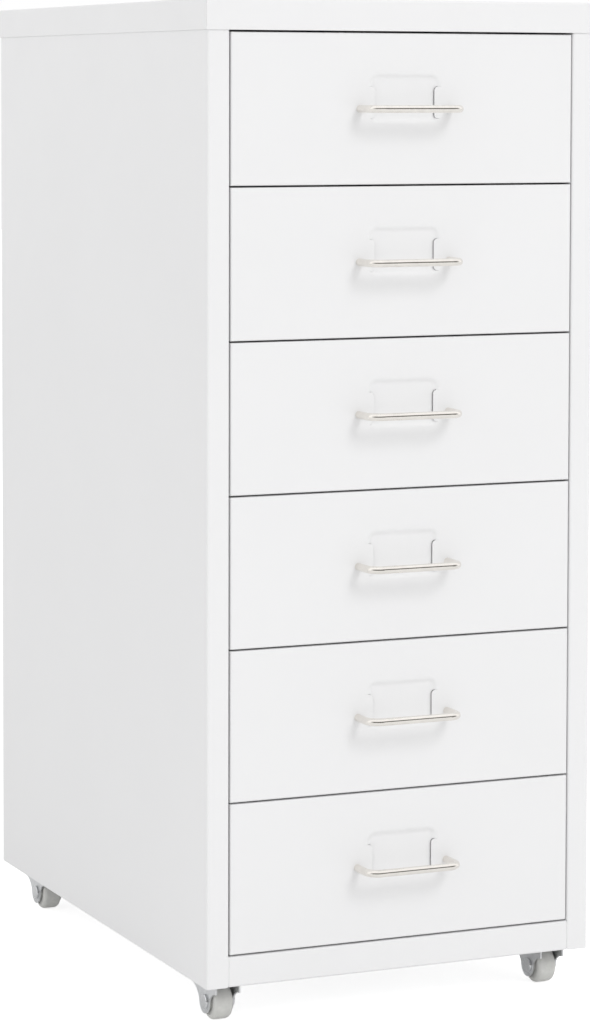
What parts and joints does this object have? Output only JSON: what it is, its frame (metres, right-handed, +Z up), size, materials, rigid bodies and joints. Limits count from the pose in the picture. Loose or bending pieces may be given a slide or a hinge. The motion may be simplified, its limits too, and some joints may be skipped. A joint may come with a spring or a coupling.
{
  "type": "drawer cabinet",
  "caption": "Tall narrow white steel drawer cabinet on swivel casters, with label recesses and bow handles on sliding drawers.",
  "frame": {"origin": "on the floor, under the middle of the whole cabinet with its handles", "axes": "+X to the right as seen from in front, +Y to the back, +Z up; the drawers open towards -Y"},
  "size_m": [0.285, 0.442, 0.679],
  "materials": {
    "white_paint": "smooth semi-gloss white powder coat",
    "handle_chrome": "bright polished plating",
    "zinc_steel": "bright zinc plating, slightly satin",
    "wheel_plastic": "satin moulded plastic, warm light grey"
  },
  "bodies": {
    "cabinet": {"top_panel": "white_paint", "side_panel_left": "white_paint", "side_panel_right": "white_paint", "back_panel": "white_paint", "bottom_panel": "white_paint", "caster_channel_front": "white_paint", "caster_channel_rear": "white_paint", "runner_pair_1": "white_paint", "runner_pair_2": "white_paint", "runner_pair_3": "white_paint", "runner_pair_4": "white_paint", "runner_pair_5": "white_paint", "runner_pair_6": "white_paint", "caster_plate_front_left": "zinc_steel", "caster_plate_front_right": "zinc_steel", "caster_plate_rear_left": "zinc_steel", "caster_plate_rear_right": "zinc_steel", "caster_pivot_front_left": "zinc_steel", "caster_pivot_front_right": "zinc_steel", "caster_pivot_rear_left": "zinc_steel", "caster_pivot_rear_right": "zinc_steel", "back_screws": "zinc_steel", "lid_screws": "zinc_steel", "caster_screws": "zinc_steel"},
    "drawer_1": {"drawer_front_1": "white_paint", "drawer_tray_1": "white_paint", "drawer_handle_1": "handle_chrome", "handle_screws_1": "zinc_steel"},
    "drawer_2": {"drawer_front_2": "white_paint", "drawer_tray_2": "white_paint", "drawer_handle_2": "handle_chrome", "handle_screws_2": "zinc_steel"},
    "drawer_3": {"drawer_front_3": "white_paint", "drawer_tray_3": "white_paint", "drawer_handle_3": "handle_chrome", "handle_screws_3": "zinc_steel"},
    "drawer_4": {"drawer_front_4": "white_paint", "drawer_tray_4": "white_paint", "drawer_handle_4": "handle_chrome", "handle_screws_4": "zinc_steel"},
    "drawer_5": {"drawer_front_5": "white_paint", "drawer_tray_5": "white_paint", "drawer_handle_5": "handle_chrome", "handle_screws_5": "zinc_steel"},
    "drawer_6": {"drawer_front_6": "white_paint", "drawer_tray_6": "white_paint", "drawer_handle_6": "handle_chrome", "handle_screws_6": "zinc_steel"},
    "swivel_front_left": {"caster_fork_front_left": "zinc_steel", "caster_axle_front_left": "zinc_steel"},
    "wheel_front_left": {"caster_wheel_front_left": "wheel_plastic"},
    "swivel_front_right": {"caster_fork_front_right": "zinc_steel", "caster_axle_front_right": "zinc_steel"},
    "wheel_front_right": {"caster_wheel_front_right": "wheel_plastic"},
    "swivel_rear_left": {"caster_fork_rear_left": "zinc_steel", "caster_axle_rear_left": "zinc_steel"},
    "wheel_rear_left": {"caster_wheel_rear_left": "wheel_plastic"},
    "swivel_rear_right": {"caster_fork_rear_right": "zinc_steel", "caster_axle_rear_right": "zinc_steel"},
    "wheel_rear_right": {"caster_wheel_rear_right": "wheel_plastic"}
  },
  "joints": [
    {"name": "drawer_1_slide", "type": "slide", "parent": "cabinet", "child": "drawer_1", "axis": [0, -1, 0], "range_m": [0, 0.29]},
    {"name": "drawer_2_slide", "type": "slide", "parent": "cabinet", "child": "drawer_2", "axis": [0, -1, 0], "range_m": [0, 0.29]},
    {"name": "drawer_3_slide", "type": "slide", "parent": "cabinet", "child": "drawer_3", "axis": [0, -1, 0], "range_m": [0, 0.29]},
    {"name": "drawer_4_slide", "type": "slide", "parent": "cabinet", "child": "drawer_4", "axis": [0, -1, 0], "range_m": [0, 0.29]},
    {"name": "drawer_5_slide", "type": "slide", "parent": "cabinet", "child": "drawer_5", "axis": [0, -1, 0], "range_m": [0, 0.29]},
    {"name": "drawer_6_slide", "type": "slide", "parent": "cabinet", "child": "drawer_6", "axis": [0, -1, 0], "range_m": [0, 0.29]},
    {"name": "swivel_front_left", "type": "hinge", "parent": "cabinet", "child": "swivel_front_left", "pos_m": [-0.1213, -0.15815, 0.027], "axis": [0, 0, 1], "continuous": true},
    {"name": "spin_front_left", "type": "hinge", "parent": "swivel_front_left", "child": "wheel_front_left", "pos_m": [-0.1213, -0.16625, 0.0124], "axis": [1, 0, 0], "continuous": true},
    {"name": "swivel_front_right", "type": "hinge", "parent": "cabinet", "child": "swivel_front_right", "pos_m": [0.1213, -0.15815, 0.027], "axis": [0, 0, 1], "continuous": true},
    {"name": "spin_front_right", "type": "hinge", "parent": "swivel_front_right", "child": "wheel_front_right", "pos_m": [0.1213, -0.16625, 0.0124], "axis": [1, 0, 0], "continuous": true},
    {"name": "swivel_rear_left", "type": "hinge", "parent": "cabinet", "child": "swivel_rear_left", "pos_m": [-0.1213, 0.17945, 0.027], "axis": [0, 0, 1], "continuous": true},
    {"name": "spin_rear_left", "type": "hinge", "parent": "swivel_rear_left", "child": "wheel_rear_left", "pos_m": [-0.1213, 0.17135, 0.0124], "axis": [1, 0, 0], "continuous": true},
    {"name": "swivel_rear_right", "type": "hinge", "parent": "cabinet", "child": "swivel_rear_right", "pos_m": [0.1213, 0.17945, 0.027], "axis": [0, 0, 1], "continuous": true},
    {"name": "spin_rear_right", "type": "hinge", "parent": "swivel_rear_right", "child": "wheel_rear_right", "pos_m": [0.1213, 0.17135, 0.0124], "axis": [1, 0, 0], "continuous": true}
  ]
}
